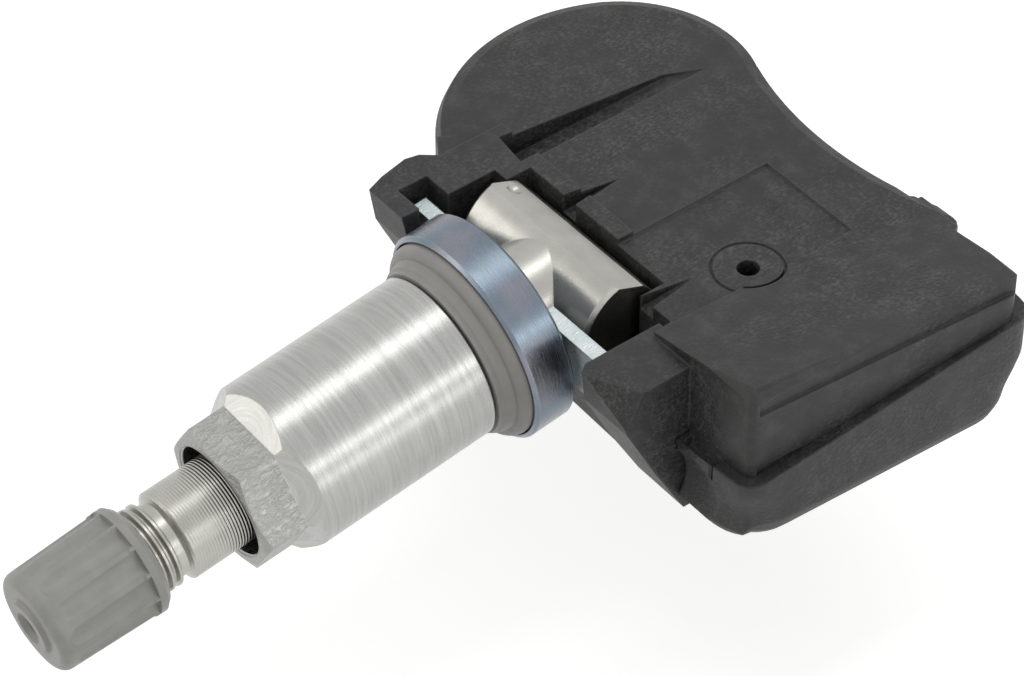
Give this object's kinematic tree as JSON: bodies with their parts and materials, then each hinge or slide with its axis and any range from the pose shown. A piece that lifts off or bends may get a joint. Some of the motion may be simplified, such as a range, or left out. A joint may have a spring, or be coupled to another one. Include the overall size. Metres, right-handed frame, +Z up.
{
  "type": "tyre pressure sensor",
  "caption": "Tyre pressure sensor with a grey plastic electronics housing and a swivelling metal clamp-in valve with collar, grommet, sleeve nut and cap.",
  "frame": {"origin": "middle of the wheel rim's valve hole, on the valve axis in the plane of the grommet's shoulder that seats on the rim", "axes": "+Z up from the marked face of the housing, +Y from the valve towards the housing, +X along the swivel axis towards the deep end of the housing; the valve points to -Y and droops 8 degrees"},
  "size_m": [0.055, 0.0848, 0.021],
  "materials": {
    "housing_plastic": "satin, glass filled",
    "board": "satin",
    "cell_steel": "satin",
    "tab_steel": "satin",
    "chip_resin": "matte",
    "silicone": "matte",
    "ferrite": "matte",
    "copper_wire": "lacquered",
    "plated_wire": "bright",
    "can_metal": "satin",
    "ceramic": "matte",
    "zinc_plate": "bright zinc, sheared edges",
    "nickel_plate": "satin nickel",
    "blue_zinc": "blue zinc, turned",
    "grommet_rubber": "matte light grey",
    "turned_aluminium": "turned",
    "brass": "machined",
    "core_seal": "matte",
    "spring_steel": "bright",
    "pin_steel": "bright",
    "cap_plastic": "matte grey",
    "cap_rubber": "matte"
  },
  "bodies": {
    "housing": {"upper_housing": "housing_plastic", "lower_housing": "housing_plastic", "circuit_board": "board", "coin_cell": "cell_steel", "battery_tab_positive": "tab_steel", "battery_tab_negative": "tab_steel", "sensor_chip": "chip_resin", "port_gasket": "silicone", "antenna_core": "ferrite", "antenna_winding": "copper_wire", "loop_antenna": "plated_wire", "crystal_can": "can_metal", "chip_capacitors": "ceramic", "retaining_clip": "zinc_plate"},
    "valve": {"valve_stem": "nickel_plate", "steel_collar": "blue_zinc", "core_swivel": "brass", "core_gasket": "core_seal", "core_tube": "brass", "core_spring": "spring_steel"},
    "grommet": {"grommet": "grommet_rubber"},
    "nut": {"sleeve_nut": "turned_aluminium"},
    "cap_seal": {"cap_seal": "cap_rubber"},
    "cap": {"cap_shell": "cap_plastic"},
    "pin": {"core_pin": "pin_steel", "core_cup_seal": "core_seal"}
  },
  "joints": [
    {"name": "valve_swivel", "type": "hinge", "parent": "housing", "child": "valve", "pos_m": [0, 0.01367, 0.00192], "axis": [1, 0, 0], "range_deg": [-5, 11.5]},
    {"name": "nut_travel", "type": "slide", "parent": "valve", "child": "grommet", "axis": [0, -0.9903, -0.1392], "range_m": [0, 0.0078]},
    {"name": "nut_spin", "type": "hinge", "parent": "grommet", "child": "nut", "pos_m": [0, 0, 0], "axis": [0, -0.9903, -0.1392], "range_deg": [0, 2808]},
    {"name": "cap_travel", "type": "slide", "parent": "valve", "child": "cap_seal", "axis": [0, -0.9903, -0.1392], "range_m": [0, 0.00953]},
    {"name": "cap_spin", "type": "hinge", "parent": "cap_seal", "child": "cap", "pos_m": [0, 0, 0], "axis": [0, -0.9903, -0.1392], "range_deg": [0, 4320]},
    {"name": "pin_press", "type": "slide", "parent": "valve", "child": "pin", "axis": [0, 0.9903, 0.1392], "range_m": [0, 0.0012], "stiffness_N_per_m": 800, "springref_m": -0.002}
  ],
  "couplings": [
    {"joint": "nut_spin", "follows": "nut_travel", "rad_per_m": 6283.2},
    {"joint": "cap_spin", "follows": "cap_travel", "rad_per_m": 7913.3}
  ]
}
